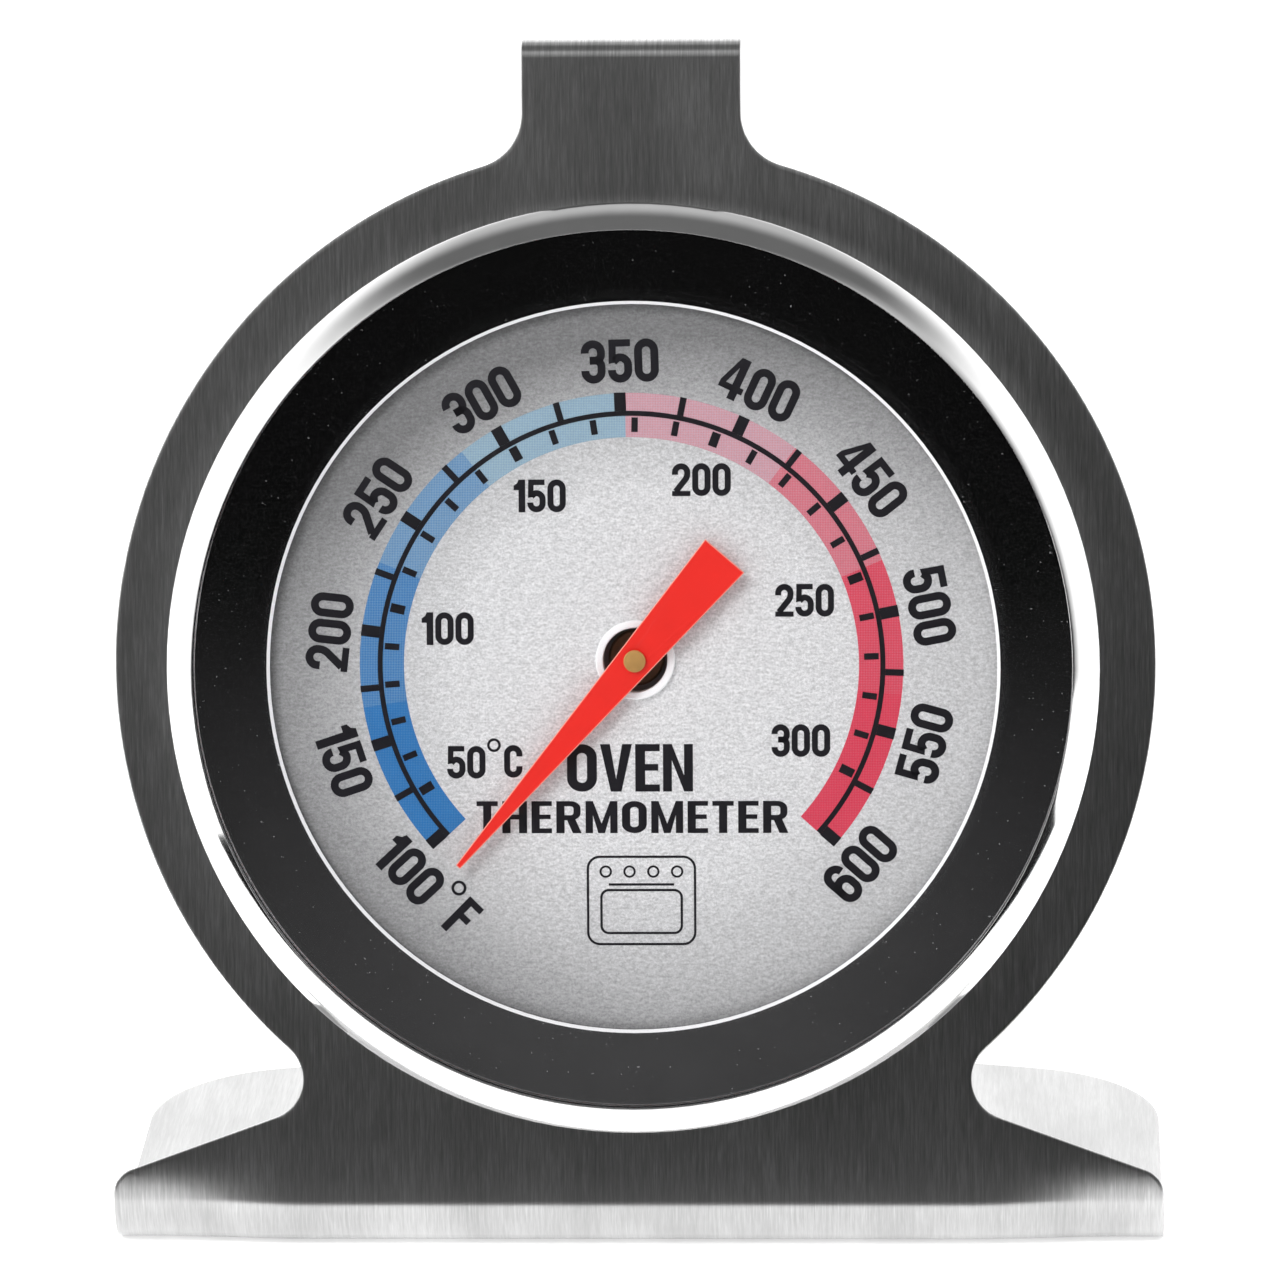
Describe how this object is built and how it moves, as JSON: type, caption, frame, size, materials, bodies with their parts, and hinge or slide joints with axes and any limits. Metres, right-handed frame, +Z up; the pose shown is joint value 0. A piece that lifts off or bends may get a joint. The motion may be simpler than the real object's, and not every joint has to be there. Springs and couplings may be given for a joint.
{
  "type": "oven thermometer",
  "caption": "Round dial thermometer on a bent steel foot with a hanging hook; a bimetal spiral turns a pointer over a Fahrenheit and Celsius scale.",
  "frame": {"origin": "middle of the base's flat underside, where the thermometer stands", "axes": "+Z up, -Y out of the dial towards the reader, +X to the reader's right; the dial leans back 12 degrees from vertical"},
  "size_m": [0.071, 0.0424, 0.08],
  "materials": {
    "stand_steel": "vertical brushed stainless",
    "case_steel": "satin drawn stainless",
    "bezel_steel": "polished rolled rim",
    "trim_mirror": "dark mirror polish",
    "lens_glass": "clear flat glass",
    "dial_silver": "fine grained silver with printed scale",
    "pointer_red": "red-orange satin paint",
    "brass": "plain turned",
    "bimetal_strip": "rolled strip, heat toned",
    "bracket_steel": "plain pressed sheet"
  },
  "bodies": {
    "stand_and_case": {"stand_plate": "stand_steel", "case_cup": "case_steel", "bezel_ring": "bezel_steel", "lens": "lens_glass", "inner_trim_ring": "trim_mirror", "dial_plate": "dial_silver", "dial_eyelet": "bezel_steel", "movement_bridge": "bracket_steel", "bridge_rivet_left": "bracket_steel", "bridge_rivet_right": "bracket_steel", "front_bearing": "brass", "rear_bearing": "brass", "coil_anchor": "bracket_steel", "anchor_rivet": "bracket_steel", "coil_end_rivet": "brass", "bimetal_coil": "bimetal_strip"},
    "pointer_assembly": {"pointer": "pointer_red", "pointer_shaft": "brass", "pointer_washer": "brass", "shaft_retainer": "bracket_steel", "coil_collet": "brass"}
  },
  "joints": [
    {"name": "pointer_sweep", "type": "hinge", "parent": "stand_and_case", "child": "pointer_assembly", "pos_m": [0.00014, -0.01343, 0.03962], "axis": [0, 0.9781, -0.2079], "range_deg": [-21, 272], "stiffness_Nm_per_rad": 0.0005, "deforming": ["bimetal_coil"]}
  ]
}
